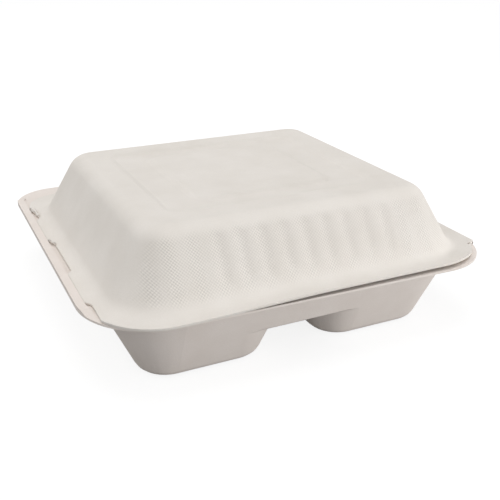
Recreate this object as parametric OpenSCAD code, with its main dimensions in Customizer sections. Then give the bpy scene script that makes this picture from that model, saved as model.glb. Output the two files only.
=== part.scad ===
// Hinged food container with three compartments, pressed from one sheet of moulded pulp.
// +X points to the hinge, +Y to the far side and +Z up. The origin is at the middle of the
// box round the closed container, at the height of the surface that it stands on.

/* [Tray rim] */
// Rim from the front edge to the hinge line
rim_len = 227; // [200:1:260]
// Rim from the container's middle plane to its near edge
rim_near = 106.5; // [106:0.5:125]
// How far the near edge draws in on its way from the hinge to the front corner
near_taper = 3.5; // [0:0.5:4]
// Rim from the container's middle plane to its far edge, which is the wider ledge
rim_far = 122.5; // [106:0.5:135]
// Radius of the rim's near front corner
near_front_r = 40; // [20:1:44]
// Radius of the rim's far front corner
far_front_r = 26; // [20:1:44]
// Radius of the rim's two corners at the hinge
rim_back_r = 34; // [20:1:40]
// Thickness of the pulp everywhere
wall = 1.125; // [0.75:0.0625:1.625]

/* [Front lip] */
// Height of the front lip above the rim
lip_h = 1.5; // [1:0.1:3]
// Width of the front lip
lip_w = 4.4; // [3:0.1:6]
// Where the lip ends along the corners, as a share of the corner's radius
lip_end = 0.8; // [0.8:0.05:1]
// Length of the slope at each end of the lip
lip_run = 8; // [4:0.5:16]

/* [Compartments] */
// Rim between the front edge and the large compartment
front_ledge = 10.2; // [8:0.1:16]
// Rim between the small compartments and the hinge line
back_ledge = 17; // [8:0.5:24]
// Half of the compartments' width where they leave the rim
well_half = 101.5; // [90:0.5:104]
// Depth of the compartments below the rim, outside
depth = 39; // [30:0.5:55]
// Radius of the compartments' corners at the height of the rim
well_r = 33; // [27:0.5:40]
// How far the walls lean in for each millimetre of depth
draft = 0.45; // [0.3:0.01:0.55]
// Radius between the walls and the floors, outside
floor_r = 7; // [4:0.5:9]
// Radius of the upper edge round the compartments and along the ridges
edge_r = 3; // [2:0.5:5]

/* [Ridges] */
// How far the ridges between the compartments lie below the rim
ridge_drop = 17; // [10:0.5:22]
// Middle of the long ridge, from the middle of the rim towards the hinge
ridge_x = -3; // [-20:0.5:20]
// Distance between the compartment walls on the two sides of a ridge, at its top
ridge_w = 15.5; // [8:0.5:20]

/* [Lid] */
// Gap between the tray's rim and the closed lid
seat_gap = 0.25; // [0.1875:0.0625:1]
// Gap round the lid's tabs behind the front lip
lip_gap = 0.5; // [0.3:0.1:1.5]
// Half of the lid's width at its flange
lid_half = 105; // [102:0.5:106]
// Radius of the lid's near front corner
lid_near_r = 33; // [20:1:36]
// Radius of the lid's far front corner
lid_far_r = 23; // [15:1:30]
// Radius of the lid's corners at the hinge
lid_back_r = 38; // [20:1:42]
// Height of the lid above its flange's underside
lid_h = 37; // [30:0.5:55]
// How far the lid's walls lean in for each millimetre of height
lid_draft = 0.59; // [0.4:0.01:0.7]
// Radius between the lid's walls and its top, outside
crown_r = 13; // [5:0.5:14]
// Radius of the hollow between the lid's walls and its flange, underneath
foot_r = 9; // [6:0.5:10]
// Flange between the lid's front edge and the line of its front wall
lid_front_ledge = 4.5; // [4:0.5:10]
// Flange between the line of the lid's rear wall and the hinge line
lid_back_ledge = 11; // [5:0.5:14]
// Flange between the lid's side edges and the lines of its side walls
lid_side_ledge = 8; // [5:0.5:10]
// Radius of the lid's corners at the foot of its walls
lid_wall_r = 33; // [31:0.5:40]

/* [Lid closure] */
// Depth of the notches in the lid's front edge
notch_d = 2.4; // [1.5:0.1:4]
// Length of the middle notch
notch_mid = 51; // [30:1:70]
// Middle of that notch, from the container's middle plane towards the far side
notch_y = -2.5; // [-4:0.5:4]
// Length of each plain tab beside the middle notch
tab_w = 35; // [20:1:40]
// Length of each outer notch
notch_end = 24; // [12:1:26]

/* [Grooves and top] */
// Grooves in each side wall of the lid
grooves = 9; // [3:1:12]
// Distance from one groove to the next
groove_pitch = 11.9; // [9:0.1:12]
// Middle of the row of grooves, from the middle of the rim towards the hinge
groove_x = 2; // [-10:0.5:10]
// Radius of a groove's section
groove_r = 4; // [3:0.1:4.5]
// Depth of a groove
groove_d = 1; // [0.5:0.1:1.2]
// Depth of the shallow channel round the middle of the lid's top
panel_d = 0.8; // [0.5:0.1:1.2]
// Plain border from the line of the lid's walls to the shallow channel
panel_border = 40; // [34:1:48]
// Width of the shallow channel towards the front and towards the hinge
panel_w = 22; // [8:1:26]
// Width of the shallow channel along the two sides
panel_side_w = 16; // [8:1:26]
// Radius of the shallow channel's outer corners
panel_r = 9; // [4:1:14]

/* [Hinge] */
// Length of the fold that joins the lid to the tray
hinge_len = 164; // [100:1:170]
// Width of the straight strip along the fold, which stands out between the rounded corners
fold_w = 6; // [6:0.5:10]
// Length of the slit at each end of the fold
slit_len = 8; // [4:0.5:12]
// Width of each slit
slit_w = 1; // [0.6:0.1:2]
// Angle between each slit and the container's length
slit_angle = 20; // [0:1:35]

/* [Hidden] */
$fn = 32;
tray_color = "#ddd6cc";
lid_color = "#e9e5dd";
eps = 0.02;
level_step = 0.0625;
arc_steps = 4;
mid_y = (rim_near - rim_far) / 2;
front_x = -rim_len / 2;
hinge_x = rim_len / 2;

// Compartments share one outer wall: [x low, x high, y low, y high] at the height of the rim
well = [front_x + front_ledge, hinge_x - back_ledge, -well_half, well_half];
ridge_half = ridge_w / 2 - draft * ridge_drop;
large = [well[0], ridge_x - ridge_half, well[2], well[3]];
small_near = [ridge_x + ridge_half, well[1], well[2], -ridge_half];
small_far = [ridge_x + ridge_half, well[1], ridge_half, well[3]];

// Lid, with its flange's outline and the line of its walls
lid_front = front_x + lip_w + lip_gap;
lid_edge = [lid_front, hinge_x, -lid_half, lid_half];
lid_foot = [lid_front + notch_d + lid_front_ledge, hinge_x - lid_back_ledge,
            -lid_half + lid_side_ledge, lid_half - lid_side_ledge];
lid_lean = atan(lid_draft);

// A point [inset, depth] moved along the leaning wall to a depth that is a whole number of
// steps, so that blocks stacked on each other meet exactly
function snap(i, d, lean) =
    let (level = round(d / level_step) * level_step) [i + lean * (level - d), level];

// Points of a pressed wall as [inset, depth]: a rounded upper edge, a leaning wall and a rounded
// foot. The inner face lies one wall thickness inside the outer face all the way.
function wall_points(top, bottom, lean, edge, foot, inner) =
    let (a = atan(lean),
         edge_d = top + edge,
         edge_i = lean * (edge_d - edge * sin(a)) + wall / cos(a) - edge * cos(a),
         foot_d = bottom - foot,
         foot_i = lean * (foot_d + foot * sin(a)) + foot * cos(a),
         re = inner ? edge : edge - wall,
         rf = inner ? foot - wall : foot)
    concat(
        [[edge_i, inner ? top - level_step : top]],
        [for (k = [0:arc_steps - 1])
            let (p = 90 - (90 - a) * k / (arc_steps - 1))
                snap(edge_i + re * cos(p), edge_d - re * sin(p), lean)],
        [for (k = [0:arc_steps])
            let (p = a + (90 - a) * k / arc_steps)
                snap(foot_i - rf * cos(p), foot_d + rf * sin(p), lean)]);

// A rounded block between two of those points, narrower below than above
module step(area, r, p, q) {
    hull()
        for (x = [area[0] + r, area[1] - r], y = [area[2] + r, area[3] - r])
            translate([x, y, -q[1]]) cylinder(h = q[1] - p[1], r1 = r - q[0], r2 = r - p[0]);
}

// A pan with a pressed wall all round, hanging down from z = 0
module pan(area, r, points) {
    for (k = [0:len(points) - 2])
        step(area, r, points[k], points[k + 1]);
}

// A plate with four rounded corners, given as near front, far front, far back and near back. The
// near front corner can be drawn in.
module plate(area, radii, h, taper = 0) {
    hull() {
        translate([area[0] + radii[0], area[2] + radii[0] + taper, 0])
            cylinder(h = h, r = radii[0], $fn = 96);
        translate([area[0] + radii[1], area[3] - radii[1], 0]) cylinder(h = h, r = radii[1], $fn = 96);
        translate([area[1] - radii[2], area[3] - radii[2], 0]) cylinder(h = h, r = radii[2], $fn = 96);
        translate([area[1] - radii[3], area[2] + radii[3], 0]) cylinder(h = h, r = radii[3], $fn = 96);
    }
}

// All compartments with their ridges, as the outer skin or as the hollow inside it
module compartments(inner) {
    top = ridge_drop;
    ridge_points = wall_points(top, depth, draft, edge_r, floor_r, inner);
    level = inner ? top + eps : top + wall;
    intersection() {
        pan(well, well_r, wall_points(0, depth, draft, edge_r, floor_r, inner));
        union() {
            translate([well[0] - well_r, well[2] - well_r, -level])
                cube([well[1] - well[0] + 2 * well_r, well[3] - well[2] + 2 * well_r, level]);
            for (cell = [large, small_near, small_far])
                pan(cell, well_r, ridge_points);
        }
    }
}

// Rim outline, drawn in by the given distance
module rim_plate(inset, h) {
    plate([front_x + inset, hinge_x - inset, -rim_near + inset, rim_far - inset],
          [near_front_r - inset, far_front_r - inset, rim_back_r - inset, rim_back_r - inset],
          h, near_taper);
}

// The straight strip of sheet that ends at the fold
module fold_strip() {
    translate([hinge_x - fold_w, -hinge_len / 2, 0]) cube([fold_w, hinge_len, wall]);
}

// The raised front band of the rim, as its outer skin or as the hollow underneath
module lip(inner) {
    t = inner ? wall : 0;
    low = inner ? -wall - eps : -wall / 2;
    high = lip_h - t;
    near_end = -rim_near + near_taper + near_front_r * lip_end;
    far_end = rim_far - far_front_r * lip_end;
    intersection() {
        translate([0, 0, low])
            difference() {
                rim_plate(t, high - low);
                translate([0, 0, -eps]) rim_plate(lip_w - t, high - low + 2 * eps);
            }
        // a bar with sloping ends, where the lip runs out into the flat rim
        translate([front_x, 0, -t]) rotate([90, 0, 90])
            linear_extrude(near_front_r)
                polygon([[near_end - lip_run, -wall - eps], [far_end + lip_run, -wall - eps],
                         [far_end, lip_h + eps], [near_end, lip_h + eps]]);
    }
}

module tray() {
    color(tray_color) translate([0, mid_y, depth])
        difference() {
            union() {
                translate([0, 0, -wall]) {
                    rim_plate(0, wall);
                    fold_strip();
                }
                lip(false);
                compartments(false);
            }
            compartments(true);
            lip(true);
        }
}

// Notches in the lid's front edge: one in the middle and one beyond each tab
module lid_notches() {
    outer = notch_mid / 2 + tab_w;
    for (y = [[-notch_mid / 2, notch_mid / 2], [outer, outer + notch_end], [-outer - notch_end, -outer]])
        translate([lid_front - notch_d, notch_y + y[0], -eps])
            cube([2 * notch_d, y[1] - y[0], wall + 2 * eps]);
}

// Slits that free the lid's corners at the ends of the fold
module lid_slits() {
    for (side = [-1, 1])
        translate([hinge_x + slit_w, side * hinge_len / 2, -eps])
            rotate([0, 0, 180 - side * slit_angle])
                translate([0, -slit_w / 2, 0]) cube([slit_len, slit_w, wall + 2 * eps]);
}

// Grooves that lean with the lid's two side walls; grow thickens them for the inner face
module lid_grooves(grow) {
    out = groove_r - groove_d;
    low = foot_r * 0.75;
    high = lid_h - crown_r * 0.6;
    for (k = [0:grooves - 1], side = [-1, 1])
        hull()
            for (z = [low, high])
                translate([groove_x + (k - (grooves - 1) / 2) * groove_pitch,
                           side * (lid_foot[3] - lid_draft * z + out * cos(lid_lean)),
                           z + out * sin(lid_lean)])
                    sphere(r = groove_r + grow, $fn = 16);
}

// A rounded block, wider at its top by the given amount
module flared(area, r, h, flare) {
    hull()
        for (x = [area[0] + r, area[1] - r], y = [area[2] + r, area[3] - r])
            translate([x, y, 0]) cylinder(h = h, r1 = r, r2 = r + flare);
}

// Shallow channel round the middle of the top with sides at 45 degrees; grow deepens and widens
// it for the inner face
module top_channel(grow) {
    rise = panel_d + grow + eps;
    side = grow * tan(22.5);
    outer = [lid_foot[0] + panel_border - side, lid_foot[1] - panel_border + side,
             lid_foot[2] + panel_border - side, lid_foot[3] - panel_border + side];
    middle = [outer[0] + panel_w + 2 * side, outer[1] - panel_w - 2 * side,
              outer[2] + panel_side_w + 2 * side, outer[3] - panel_side_w - 2 * side];
    translate([0, 0, lid_h - panel_d - grow])
        difference() {
            flared(outer, panel_r + side, rise, rise);
            translate([0, 0, -eps]) flared(middle, panel_r - side, rise + 2 * eps, -rise - 2 * eps);
        }
}

// The lid's dome, as the outer skin or as the hollow inside it
module dome(inner) {
    mirror([0, 0, 1])
        pan(lid_foot, lid_wall_r, wall_points(0, lid_h, lid_draft, foot_r, crown_r, inner));
}

module lid() {
    color(lid_color) translate([0, mid_y, depth + seat_gap])
        difference() {
            union() {
                plate(lid_edge, [lid_near_r, lid_far_r, lid_back_r, lid_back_r], wall);
                fold_strip();
                dome(false);
            }
            difference() {
                dome(true);
                lid_grooves(wall);
                top_channel(wall);
            }
            lid_grooves(0);
            top_channel(0);
            lid_notches();
            lid_slits();
        }
}

tray();
lid();
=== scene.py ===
import math

import bmesh
import bpy
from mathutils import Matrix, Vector


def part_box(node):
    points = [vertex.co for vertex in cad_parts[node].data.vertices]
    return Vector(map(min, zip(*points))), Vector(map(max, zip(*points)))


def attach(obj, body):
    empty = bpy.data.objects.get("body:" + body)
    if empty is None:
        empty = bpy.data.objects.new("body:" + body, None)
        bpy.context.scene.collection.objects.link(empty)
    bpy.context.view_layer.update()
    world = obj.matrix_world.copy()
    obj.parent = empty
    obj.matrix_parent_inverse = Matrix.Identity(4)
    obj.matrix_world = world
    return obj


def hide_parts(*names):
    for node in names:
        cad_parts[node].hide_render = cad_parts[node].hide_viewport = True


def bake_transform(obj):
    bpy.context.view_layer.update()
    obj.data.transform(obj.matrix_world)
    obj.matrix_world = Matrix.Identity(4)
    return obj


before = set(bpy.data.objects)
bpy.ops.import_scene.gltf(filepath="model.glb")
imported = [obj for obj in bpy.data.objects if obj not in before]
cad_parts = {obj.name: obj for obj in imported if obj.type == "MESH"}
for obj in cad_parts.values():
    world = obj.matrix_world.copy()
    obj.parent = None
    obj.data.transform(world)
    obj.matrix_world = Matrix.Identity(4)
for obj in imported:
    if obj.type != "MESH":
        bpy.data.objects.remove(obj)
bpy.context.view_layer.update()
scene = bpy.context.scene
scene.view_settings.view_transform = "Standard"

# Camera
# It stands in front of the near side, a little above the lid and turned towards the hinge, as the
# photographer's did, with a lens of about 54 mm on a 36 mm sensor.
camera_data = bpy.data.cameras.new("camera")
camera_data.sensor_width = 36
camera_data.lens = 53.96
camera_data.clip_start = 0.01
camera = bpy.data.objects.new("camera", camera_data)
scene.collection.objects.link(camera)
camera.location = (-0.1745, -0.3968, 0.2062)
camera.rotation_euler = (math.radians(90 - 23.241), 0, math.radians(-25.316))
scene.camera = camera

# Lid shell
# The domed lid is one sheet of moulded bagasse pulp, about 1.1 mm thick, pressed between two hot
# moulds. Its outer skin is drawn level by level from the flange to the flat top; the walls' soft
# flutes, the sunk ring on the top and the notches for the tabs are pressed or punched into it.

# sizes are in millimetres, and the finished mesh is scaled by MM
MM = 0.001
lid_low, lid_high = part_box("lid")
seat = lid_low[2] / MM
lid_front = lid_low[0] / MM
hinge_x = lid_high[0] / MM
mid_y = (lid_low[1] + lid_high[1]) / 2 / MM
lid_half = (lid_high[1] - lid_low[1]) / 2 / MM
lid_height = (lid_high[2] - lid_low[2]) / MM
wall_line = [lid_front + 6.9, hinge_x - 11, -lid_half + 8, lid_half - 8]
wall_corner = 33
# how far the walls lean in for each millimetre of height
lean = 0.59
lean_angle = math.atan(lean)
pulp = 1.1
foot_radius = 9
side_foot_radius = 15
crown_radius = 13
fold_half = 82
notch_depth = 2.4
tab_reach = 0.35
notches = ((-87, -63), (-28, 23), (58, 82))
# each end of a notch curves in over this length
notch_end = 4
# the flange's edge is trimmed for the tabs in front of the first, and for the fold behind the second
front_zone, fold_zone = -90, 100
# corner radii of the flange: near front, far front, far back, near back
flange_corners = [33, 23, 38, 38]
corner_steps = 12
cuts_along_x, cuts_along_y = 109, 101
shortest_side = 40
foot_steps, wall_steps, crown_steps = 8, 20, 12


def rounded_outline(bm, area, corners, height):
    """A flat face with four rounded corners and evenly divided sides, as points in order."""
    spots = [(area[0], area[2]), (area[0], area[3]), (area[1], area[3]), (area[1], area[2])]
    points = [bm.verts.new((x, y, height)) for x, y in spots]
    face = bm.faces.new(reversed(points))
    for point, radius in zip(points, corners):
        bmesh.ops.bevel(
            bm, geom=[point], affect="VERTICES", offset=radius, offset_type="OFFSET",
            segments=corner_steps, profile=0.5, material=-1, clamp_overlap=False)
    face = max(bm.faces, key=lambda f: len(f.verts))
    sides = [e for e in face.edges if e.calc_length() > shortest_side]
    for side in sides:
        along_x = abs(side.verts[0].co.x - side.verts[1].co.x) > 1
        bmesh.ops.subdivide_edges(bm, edges=[side], cuts=cuts_along_x if along_x else cuts_along_y)
    return face


def ordered(face, area):
    """The face's points, starting after the near front corner."""
    points = [loop.vert for loop in face.loops]
    start = min(range(len(points)), key=lambda k: (points[k].co.x - area[0]) ** 2 * 100
                + (points[k].co.y - area[2]) ** 2)
    return points[start:] + points[:start]


# the flange's edge as it is trimmed, before the notches are punched
edge_area = [lid_front, hinge_x, -lid_half, lid_half]
edge_bm = bmesh.new()
edge_face = rounded_outline(edge_bm, edge_area, flange_corners, 0)
edge_points = [v.co.copy() for v in ordered(edge_face, edge_area)]
edge_bm.free()

# the foot's outline, where the walls' curve leaves the flange
lid_bm = bmesh.new()
flare = lean * (foot_radius - foot_radius * math.sin(lean_angle)) \
    + pulp / math.cos(lean_angle) - foot_radius * math.cos(lean_angle)
foot_area = [wall_line[0] + flare, wall_line[1] - flare, wall_line[2] + flare, wall_line[3] - flare]
top_face = rounded_outline(lid_bm, foot_area, [wall_corner - flare] * 4, pulp)
foot_spots = [v.co.copy() for v in ordered(top_face, foot_area)]

# each level's inset from the flange's foot and its height: foot curve, leaning wall, crown
levels = []
for step in range(1, foot_steps + 1):
    angle = math.pi / 2 - (math.pi / 2 - lean_angle) * step / foot_steps
    radius = foot_radius - pulp
    levels.append((flare + radius * math.cos(angle), foot_radius - radius * math.sin(angle)))
crown_height = lid_height - crown_radius
crown_inset = lean * (crown_height + crown_radius * math.sin(lean_angle)) \
    + crown_radius * math.cos(lean_angle)
wall_start = levels[-1]
wall_end = (crown_inset - crown_radius * math.cos(lean_angle),
            crown_height + crown_radius * math.sin(lean_angle))
for step in range(1, wall_steps):
    share = step / wall_steps
    levels.append((wall_start[0] + (wall_end[0] - wall_start[0]) * share,
                   wall_start[1] + (wall_end[1] - wall_start[1]) * share))
for step in range(0, crown_steps + 1):
    angle = lean_angle + (math.pi / 2 - lean_angle) * step / crown_steps
    levels.append((crown_inset - crown_radius * math.cos(angle),
                   crown_height + crown_radius * math.sin(angle)))
inset, height = flare, pulp
for level in levels:
    bmesh.ops.inset_region(
        lid_bm, faces=[top_face], thickness=level[0] - inset, depth=level[1] - height,
        use_boundary=True, use_even_offset=True)
    inset, height = level

# the flat top in small squares, so that the sunk ring can be pressed into it
top_parts = [top_face]
side_marks = sorted({round(p.x, 4) for p in foot_spots if abs(p.y - foot_area[2]) < 1e-3})
end_marks = sorted({round(p.y, 4) for p in foot_spots if abs(p.x - foot_area[0]) < 1e-3})
for axis, marks in ((0, side_marks), (1, end_marks)):
    for mark in marks:
        geometry = set(top_parts)
        for part in top_parts:
            geometry.update(part.edges)
            geometry.update(part.verts)
        at, normal = [0, 0, 0], [0, 0, 0]
        at[axis], normal[axis] = mark, 1
        cut = bmesh.ops.bisect_plane(
            lid_bm, geom=list(geometry), dist=1e-4, plane_co=at, plane_no=normal)
        top_parts = [g for g in cut["geom"] if isinstance(g, bmesh.types.BMFace)]


def smooth_step(low, high, value):
    """0 below low, 1 above high, and an even curve between them."""
    share = min(max((value - low) / (high - low), 0), 1)
    return share * share * (3 - 2 * share)


def side_share(x, y):
    """1 at the two side walls, 0 at the front and rear walls, and between in the corners."""
    along = max(wall_line[0] + wall_corner - x, x - wall_line[1] + wall_corner, 0)
    across = max(wall_line[2] + wall_corner - y, y - wall_line[3] + wall_corner, 0)
    return across ** 2 / max(along ** 2 + across ** 2, 1e-6)


def foot_inset(radius, height):
    """How far the outer skin lies inside the wall's line at a height, over a foot of that radius."""
    outer = radius - pulp
    if height > radius - outer * math.sin(lean_angle):
        return lean * height
    start = lean * radius * (1 - math.sin(lean_angle)) + pulp / math.cos(lean_angle) \
        - radius * math.cos(lean_angle)
    return start + math.sqrt(max(outer ** 2 - (radius - height) ** 2, 0))


# the side walls run out into the flange in a wider curve than the front and rear walls
foot_edges = [e for e in lid_bm.edges if e.is_boundary]
foot_points = {(round(v.co.x, 2), round(v.co.y, 2)): v for e in foot_edges for v in e.verts}
for v in lid_bm.verts:
    spread = foot_inset(foot_radius, v.co.z) - foot_inset(side_foot_radius, v.co.z)
    v.co.y += math.copysign(spread * side_share(v.co.x, v.co.y), v.co.y)

# the flange, drawn out from the foot of the walls to its edge
grown = bmesh.ops.extrude_edge_only(lid_bm, edges=foot_edges)["geom"]
rim_points = {v for v in grown if isinstance(v, bmesh.types.BMVert)}
spokes = []
for foot_spot, target in zip(foot_spots, edge_points):
    foot_point = foot_points[(round(foot_spot.x, 2), round(foot_spot.y, 2))]
    spoke = next(e for e in foot_point.link_edges if e.other_vert(foot_point) in rim_points)
    edge_x = target.x
    if target.x < front_zone:
        into_notch = max(min(target.y - low, high - target.y) for low, high in notches)
        if notches[0][0] < target.y < notches[2][1]:
            edge_x -= tab_reach
        cut_back = (notch_depth + tab_reach) * smooth_step(0, notch_end, into_notch)
        edge_x = max(edge_x, lid_front - tab_reach + cut_back)
    elif target.x > fold_zone and abs(target.y) < fold_half:
        edge_x = hinge_x
    spoke.other_vert(foot_point).co = (edge_x, target.y, pulp)
    spokes.append(spoke)
bmesh.ops.subdivide_edges(lid_bm, edges=spokes, cuts=3, use_grid_fill=True)

# a short slit at each end of the fold frees the lid's corners
slit_length, slit_half, slit_turn = 8, 0.5, 20
for side in (-1, 1):
    turn = math.radians(180 - side * slit_turn)
    along = Vector((math.cos(turn), math.sin(turn), 0))
    across = Vector((-along.y, along.x, 0))
    slit_start = Vector((hinge_x + 1, side * fold_half, pulp))
    slit_middle = slit_start + along * slit_length / 2
    near_slit = [f for f in lid_bm.faces
                 if (f.calc_center_median() - slit_middle).length < slit_length + 1]
    for at, normal in ((slit_start + across * slit_half, across),
                       (slit_start - across * slit_half, across),
                       (slit_start + along * slit_length, along)):
        geometry = set(near_slit)
        for part in near_slit:
            geometry.update(part.edges)
            geometry.update(part.verts)
        cut = bmesh.ops.bisect_plane(
            lid_bm, geom=list(geometry), dist=1e-3, plane_co=at, plane_no=normal)
        near_slit = [g for g in cut["geom"] if isinstance(g, bmesh.types.BMFace)]
    punched = []
    for part in near_slit:
        offset = part.calc_center_median() - slit_start
        if abs(offset.dot(across)) < slit_half and 0 < offset.dot(along) < slit_length:
            punched.append(part)
    bmesh.ops.delete(lid_bm, geom=punched, context="FACES")


def inside_rounded(x, y, area, radius):
    """How far a point lies inside a rounded rectangle; negative outside."""
    px = max(area[0] + radius - x, x - area[1] + radius)
    py = max(area[2] + radius - y, y - area[3] + radius)
    outside = math.hypot(max(px, 0), max(py, 0))
    return radius - outside - min(max(px, py), 0)


# nine soft flutes in the middle of the two side walls, which fade out above the foot and below
# the crown
lid_bm.normal_update()
flute_pitch, flute_depth, flute_middle = 11.9, 0.75, 2.0
flute_narrowness = 1.4
flutes_half = 4.5 * flute_pitch
flute_foot, flute_head = (6, 13), (29, 34)
moves = []
for v in lid_bm.verts:
    facing = abs(v.normal.y)
    lengthwise = v.co.x - flute_middle
    if facing > 0.5 and 4 < v.co.z < lid_height - 1:
        phase = 2 * math.pi * lengthwise / flute_pitch
        groove = (0.5 + 0.5 * math.cos(phase)) ** flute_narrowness
        along = 1 - smooth_step(flutes_half - 0.1 * flute_pitch, flutes_half + 0.1 * flute_pitch,
                                abs(lengthwise))
        up = smooth_step(*flute_foot, v.co.z) * (1 - smooth_step(*flute_head, v.co.z))
        moves.append((v, -v.normal * flute_depth * groove * along * up))
for v, move in moves:
    v.co += move

# the sunk ring round the middle of the top
ring_outer = [-62, 61.5, -57, 57]
ring_inner = [-40, 39.5, -41, 41]
ring_outer_corner, ring_inner_corner = 9, 7
ring_depth, ring_slope = 1.2, 2.6
for part in top_parts:
    for v in part.verts:
        v.tag = True
for v in lid_bm.verts:
    if v.tag:
        into_ring = inside_rounded(v.co.x, v.co.y, ring_outer, ring_outer_corner)
        into_middle = inside_rounded(v.co.x, v.co.y, ring_inner, ring_inner_corner)
        sunk = smooth_step(0, ring_slope, into_ring)
        raised = smooth_step(-ring_slope, 0, into_middle)
        v.co.z -= ring_depth * sunk * (1 - raised)

# the near flange has lifted a little off the rim towards the hinge, as pulp does while it dries
warp_height, warp_width = 1.6, 14
warp_run, warp_fade = (-75, 5), (4, 14)
for v in lid_bm.verts:
    edge_share = smooth_step(lid_half - warp_width, lid_half, -v.co.y)
    low_share = 1 - smooth_step(*warp_fade, v.co.z)
    v.co.z += warp_height * edge_share * smooth_step(*warp_run, v.co.x) * low_share

bmesh.ops.translate(lid_bm, verts=lid_bm.verts, vec=(0, mid_y, seat))
bmesh.ops.scale(lid_bm, verts=lid_bm.verts, vec=(MM, MM, MM))
bmesh.ops.recalc_face_normals(lid_bm, faces=lid_bm.faces)
lid_mesh = bpy.data.meshes.new("lid_shell")
lid_bm.to_mesh(lid_mesh)
lid_bm.free()
lid_mesh.shade_smooth()
lid_shell = bpy.data.objects.new("lid_shell", lid_mesh)
scene.collection.objects.link(lid_shell)
sheet = lid_shell.modifiers.new("sheet", "SOLIDIFY")
sheet.thickness = pulp * MM
sheet.offset = -1
edge_width = 0.3
lid_edge = lid_shell.modifiers.new("edge", "BEVEL")
lid_edge.width = edge_width * MM
lid_edge.segments = 2
lid_edge.limit_method = "ANGLE"
lid_edge.angle_limit = math.radians(50)


def srgb(hex_colour):
    """A written sRGB colour as the linear one that the shader takes."""
    parts = [int(hex_colour[k:k + 2], 16) / 255 for k in (1, 3, 5)]
    return [p / 12.92 if p <= 0.04045 else ((p + 0.055) / 1.055) ** 2.4 for p in parts] + [1]


def add_node(tree, kind, settings, links):
    """A shader node with its settings, and its inputs set to values or linked from sockets."""
    made = tree.nodes.new(kind)
    for name, value in settings.items():
        setattr(made, name, value)
    for name, value in links.items():
        if isinstance(value, bpy.types.NodeSocket):
            tree.links.new(value, made.inputs[name])
        else:
            made.inputs[name].default_value = value
    return made


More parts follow.
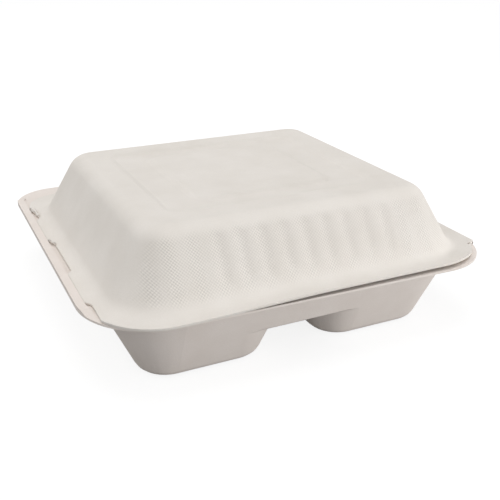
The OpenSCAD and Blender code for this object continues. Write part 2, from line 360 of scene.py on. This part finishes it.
def bagasse_pulp(name, light, shade, screen):
    """Hot-pressed moulded bagasse: matt and off-white, faintly clouded and flecked with short
    fibres. The wire screen of the forming mould leaves its mesh in the walls."""
    material = bpy.data.materials.new(name)
    material.use_nodes = True
    tree = material.node_tree
    surface = tree.nodes["Principled BSDF"]
    place = tree.nodes.new("ShaderNodeTexCoord").outputs["Object"]
    # clouds about 22 mm wide, and short fibres under a millimetre long
    cloud_scale, fibre_scale = 45, 1400
    clouds = add_node(tree, "ShaderNodeTexNoise", {},
                      {"Vector": place, "Scale": cloud_scale, "Detail": 4})
    flecks = add_node(tree, "ShaderNodeTexNoise", {},
                      {"Vector": place, "Scale": fibre_scale, "Detail": 3})
    spread = add_node(tree, "ShaderNodeMath", {"operation": "MULTIPLY_ADD"},
                      {0: flecks.outputs["Fac"], 1: 0.35, 2: 0.325})
    blend = add_node(tree, "ShaderNodeMath", {"operation": "MULTIPLY_ADD"},
                     {0: clouds.outputs["Fac"], 1: 0.7, 2: 0.15})
    both = add_node(tree, "ShaderNodeMath", {"operation": "MULTIPLY"},
                    {0: spread.outputs[0], 1: blend.outputs[0]})
    tone = add_node(tree, "ShaderNodeMapRange", {},
                    {"Value": both.outputs[0], "From Min": 0.1, "From Max": 0.42})
    colour = add_node(tree, "ShaderNodeMix", {"data_type": "RGBA"},
                      {0: tone.outputs["Result"], 6: srgb(shade), 7: srgb(light)})
    tree.links.new(colour.outputs[2], surface.inputs["Base Color"])
    surface.inputs["Roughness"].default_value = 0.85
    surface.inputs["IOR"].default_value = 1.45
    fibre = add_node(tree, "ShaderNodeBump", {},
                     {"Height": flecks.outputs["Fac"], "Strength": 0.25, "Distance": 0.0003})
    tree.links.new(fibre.outputs["Normal"], surface.inputs["Normal"])
    if screen:
        # two sets of slanting wires, about 1.1 mm apart: coarser than a real screen's half
        # millimetre, so that they show. They are seen only on the side walls.
        wire_pitch, wire_slope = 0.0017, 1.1
        split = add_node(tree, "ShaderNodeSeparateXYZ", {}, {"Vector": place})
        slanted = []
        for sign in (1, -1):
            line = add_node(tree, "ShaderNodeMath", {"operation": "MULTIPLY_ADD"},
                            {0: split.outputs["Z"], 1: sign * wire_slope, 2: split.outputs["X"]})
            turn = add_node(tree, "ShaderNodeMath", {"operation": "MULTIPLY"},
                            {0: line.outputs[0], 1: 2 * math.pi / wire_pitch})
            slanted.append(add_node(tree, "ShaderNodeMath", {"operation": "SINE"}, {0: turn.outputs[0]}))
        weave = add_node(tree, "ShaderNodeMath", {"operation": "ADD"},
                         {0: slanted[0].outputs[0], 1: slanted[1].outputs[0]})
        # they fade out at the foot and the crown, and at the walls' rounded corners
        foot_fade, crown_fade = (0.041, 0.047), (0.069, 0.075)
        low = add_node(tree, "ShaderNodeMapRange", {"interpolation_type": "SMOOTHSTEP"},
                       {"Value": split.outputs["Z"], "From Min": foot_fade[0],
                        "From Max": foot_fade[1]})
        high = add_node(tree, "ShaderNodeMapRange", {"interpolation_type": "SMOOTHSTEP"},
                        {"Value": split.outputs["Z"], "From Min": crown_fade[1],
                         "From Max": crown_fade[0]})
        masked = add_node(tree, "ShaderNodeMath", {"operation": "MULTIPLY"},
                          {0: low.outputs["Result"], 1: high.outputs["Result"]})
        facing = add_node(tree, "ShaderNodeSeparateXYZ", {},
                          {"Vector": tree.nodes["Texture Coordinate"].outputs["Normal"]})
        sideways = add_node(tree, "ShaderNodeMath", {"operation": "ABSOLUTE"}, {0: facing.outputs["Y"]})
        side = add_node(tree, "ShaderNodeMapRange", {"interpolation_type": "SMOOTHSTEP"},
                        {"Value": sideways.outputs[0], "From Min": 0.45, "From Max": 0.8})
        mask = add_node(tree, "ShaderNodeMath", {"operation": "MULTIPLY"},
                        {0: masked.outputs[0], 1: side.outputs["Result"]})
        # the flutes' crests are rubbed smoother than their hollows
        ripple = add_node(tree, "ShaderNodeMath", {"operation": "MULTIPLY_ADD"},
                          {0: split.outputs["X"], 1: 2 * math.pi / (flute_pitch * MM),
                           2: -2 * math.pi * (flute_middle - 1.5) / flute_pitch})
        hollow = add_node(tree, "ShaderNodeMath", {"operation": "COSINE"}, {0: ripple.outputs[0]})
        worn = add_node(tree, "ShaderNodeMapRange", {},
                        {"Value": hollow.outputs[0], "From Min": -1.0, "From Max": 1.0,
                         "To Min": 0.45, "To Max": 1.0})
        kept = add_node(tree, "ShaderNodeMath", {"operation": "MULTIPLY"},
                        {0: mask.outputs[0], 1: worn.outputs["Result"]})
        pressed = add_node(tree, "ShaderNodeMath", {"operation": "MULTIPLY"},
                           {0: weave.outputs[0], 1: kept.outputs[0]})
        wires = add_node(tree, "ShaderNodeBump", {},
                         {"Height": pressed.outputs[0], "Strength": 0.3, "Distance": 0.0002,
                          "Normal": fibre.outputs["Normal"]})
        tree.links.new(wires.outputs["Normal"], surface.inputs["Normal"])
        # painted shade and light: the colour is darkened in the wire mesh's hollows and lightened on its
        # ridges, for the shading of a relief too fine to model
        weave_light_and_shade = add_node(tree, "ShaderNodeMapRange", {},
                         {"Value": pressed.outputs[0], "From Min": -2.0, "From Max": 2.0,
                          "To Min": 0.84, "To Max": 1.12})
        colour_with_weave_shade = add_node(tree, "ShaderNodeVectorMath", {"operation": "SCALE"},
                           {"Vector": colour.outputs[2], "Scale": weave_light_and_shade.outputs["Result"]})
        tree.links.new(colour_with_weave_shade.outputs["Vector"], surface.inputs["Base Color"])
    return material


lid_shell.data.materials.append(
    bagasse_pulp("moulded bagasse pulp of the lid", "#efeae4", "#e2dcd4", True))
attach(lid_shell, "lid")
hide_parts("lid")

# Tray shell
# The tray with its three compartments is pressed from the same sheet of pulp. Its walls lean in
# and its corners are round, so that it leaves the mould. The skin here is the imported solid's own,
# joined up.
tray_bm = bmesh.new()
tray_bm.from_mesh(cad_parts["tray"].data)
bmesh.ops.remove_doubles(tray_bm, verts=tray_bm.verts, dist=0.000002)
bmesh.ops.dissolve_limit(
    tray_bm, angle_limit=math.radians(0.5), verts=tray_bm.verts, edges=tray_bm.edges)
# a narrow border inside each large flat wall keeps it evenly shaded up to its rounded edges
wall_area, wall_border = 600, 0.4
tray_bm.normal_update()
flat_walls = [f for f in tray_bm.faces
              if f.calc_area() > wall_area * MM * MM and abs(f.normal.z) < 0.7]
bmesh.ops.inset_individual(
    tray_bm, faces=flat_walls, thickness=wall_border * MM, use_even_offset=False)
tray_mesh = bpy.data.meshes.new("tray_shell")
tray_bm.to_mesh(tray_mesh)
tray_bm.free()
tray_mesh.shade_smooth()
tray_mesh.set_sharp_from_angle(angle=math.radians(40))
tray_shell = bpy.data.objects.new("tray_shell", tray_mesh)
scene.collection.objects.link(tray_shell)
# large faces lead the shading where they meet the small ones of a rounded edge
shading = tray_shell.modifiers.new("flat walls", "WEIGHTED_NORMAL")
shading.keep_sharp = True
shading.weight = 100
# painted warm light: the tray is the same pulp as the lid, but its two colours are a little redder, for
# the warmer light that falls on its walls
tray_shell.data.materials.append(
    bagasse_pulp("moulded bagasse pulp of the tray, with painted warm light", "#f2eae4", "#e5dbd3", False))
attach(tray_shell, "tray")
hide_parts("tray")

# Fold
# At the back the sheet runs on from the tray's rim into the lid's flange, pressed thinner along a
# line, and bends there.
fold_bm = bmesh.new()
fold_x, fold_z = 113.0, 39.15
bend_out, bend_up, bend_steps = 0.75, 0.68, 8
# how far the strip runs on over the tray's rim and the lid's flange
lap = 0.6
fold_thickness = 0.45
fold_points = []
for step in range(0, bend_steps + 1):
    angle = -math.pi / 2 + math.pi * step / bend_steps
    fold_points.append((fold_x + bend_out * math.cos(angle), fold_z + bend_up * math.sin(angle)))
fold_points.insert(0, (fold_x - lap, fold_points[0][1]))
fold_points.append((fold_x - lap, fold_points[-1][1]))
start = [fold_bm.verts.new((x * MM, (mid_y - fold_half) * MM, z * MM)) for x, z in fold_points]
fold_edges = [fold_bm.edges.new(pair) for pair in zip(start, start[1:])]
drawn = bmesh.ops.extrude_edge_only(fold_bm, edges=fold_edges)["geom"]
bmesh.ops.translate(fold_bm, verts=[g for g in drawn if isinstance(g, bmesh.types.BMVert)],
                    vec=(0, 2 * fold_half * MM, 0))
lengthwise_edges = [e for e in fold_bm.edges if abs(e.verts[0].co.y - e.verts[1].co.y) > 0.1]
bmesh.ops.subdivide_edges(fold_bm, edges=lengthwise_edges, cuts=84, use_grid_fill=True)
bmesh.ops.recalc_face_normals(fold_bm, faces=fold_bm.faces)
bmesh.ops.solidify(fold_bm, geom=fold_bm.faces[:], thickness=fold_thickness * MM)
bmesh.ops.recalc_face_normals(fold_bm, faces=fold_bm.faces)
fold_mesh = bpy.data.meshes.new("fold_strip")
fold_bm.to_mesh(fold_mesh)
fold_bm.free()
fold_mesh.shade_smooth()
fold_strip = bpy.data.objects.new("fold_strip", fold_mesh)
scene.collection.objects.link(fold_strip)
# the fold shares the tray's pulp, with its painted warm light
fold_strip.data.materials.append(tray_shell.data.materials[0])
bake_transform(fold_strip)

# Floor and studio
# A pale sheet of studio paper that shows white to the camera and keeps the object's soft shadow,
# under an even white room and four soft lamps.
floor_bm = bmesh.new()
bmesh.ops.create_grid(floor_bm, x_segments=1, y_segments=1, size=3)
floor_mesh = bpy.data.meshes.new("floor")
floor_bm.to_mesh(floor_mesh)
floor_bm.free()
floor = bpy.data.objects.new("floor", floor_mesh)
scene.collection.objects.link(floor)
floor_material = bpy.data.materials.new("white studio paper")
floor_material.use_nodes = True
floor_tree = floor_material.node_tree
floor_surface = floor_tree.nodes["Principled BSDF"]
floor_surface.inputs["Base Color"].default_value = srgb("#888888")
floor_surface.inputs["Roughness"].default_value = 0.9
floor_surface.inputs["Specular IOR Level"].default_value = 0.0
floor_surface.inputs["Emission Color"].default_value = (1, 1, 1, 1)
seen = floor_tree.nodes.new("ShaderNodeLightPath")
seen_mirrored = add_node(floor_tree, "ShaderNodeMath", {"operation": "MAXIMUM"},
                         {0: seen.outputs["Is Camera Ray"], 1: seen.outputs["Is Glossy Ray"]})
seen_through = add_node(floor_tree, "ShaderNodeMath", {"operation": "MAXIMUM"},
                        {0: seen_mirrored.outputs[0], 1: seen.outputs["Is Transmission Ray"]})
white_lift = 0.84
lift = add_node(floor_tree, "ShaderNodeMath", {"operation": "MULTIPLY"},
                {0: seen_through.outputs[0], 1: white_lift})
floor_tree.links.new(lift.outputs[0], floor_surface.inputs["Emission Strength"])
floor.data.materials.append(floor_material)

world = bpy.data.worlds.new("studio")
scene.world = world
world.use_nodes = True
sky_tree = world.node_tree
sky = sky_tree.nodes["Background"]
sky.inputs["Color"].default_value = (1, 1, 1, 1)
sky_seen = sky_tree.nodes.new("ShaderNodeLightPath")
sky_mirrored = add_node(sky_tree, "ShaderNodeMath", {"operation": "MAXIMUM"},
                        {0: sky_seen.outputs["Is Camera Ray"], 1: sky_seen.outputs["Is Glossy Ray"]})
sky_through = add_node(sky_tree, "ShaderNodeMath", {"operation": "MAXIMUM"},
                       {0: sky_mirrored.outputs[0], 1: sky_seen.outputs["Is Transmission Ray"]})
sky_level = add_node(sky_tree, "ShaderNodeMapRange", {},
                     {"Value": sky_through.outputs[0], "To Min": 0.6, "To Max": 1.0})
sky_tree.links.new(sky_level.outputs["Result"], sky.inputs["Strength"])

# each lamp's place and size in metres, and its power in watts
for name, spot, size, power in (("overhead light", (0.0, 0.1, 1.5), 1.0, 5.9),
                                ("rear left light", (-1.2, 0.5, 0.8), 1.0, 2.8),
                                ("front light", (0.0, -1.1, 0.2), 0.6, 1.8),
                                ("low right light", (0.45, -0.5, 0.03), 0.06, 1.2)):
    lamp_data = bpy.data.lights.new(name, "AREA")
    lamp_data.size = size
    lamp_data.energy = power
    lamp = bpy.data.objects.new(name, lamp_data)
    scene.collection.objects.link(lamp)
    lamp.location = spot
    towards_rim = Vector((0, 0, 0.04)) - Vector(spot)
    lamp.rotation_euler = towards_rim.to_track_quat("-Z", "Y").to_euler()
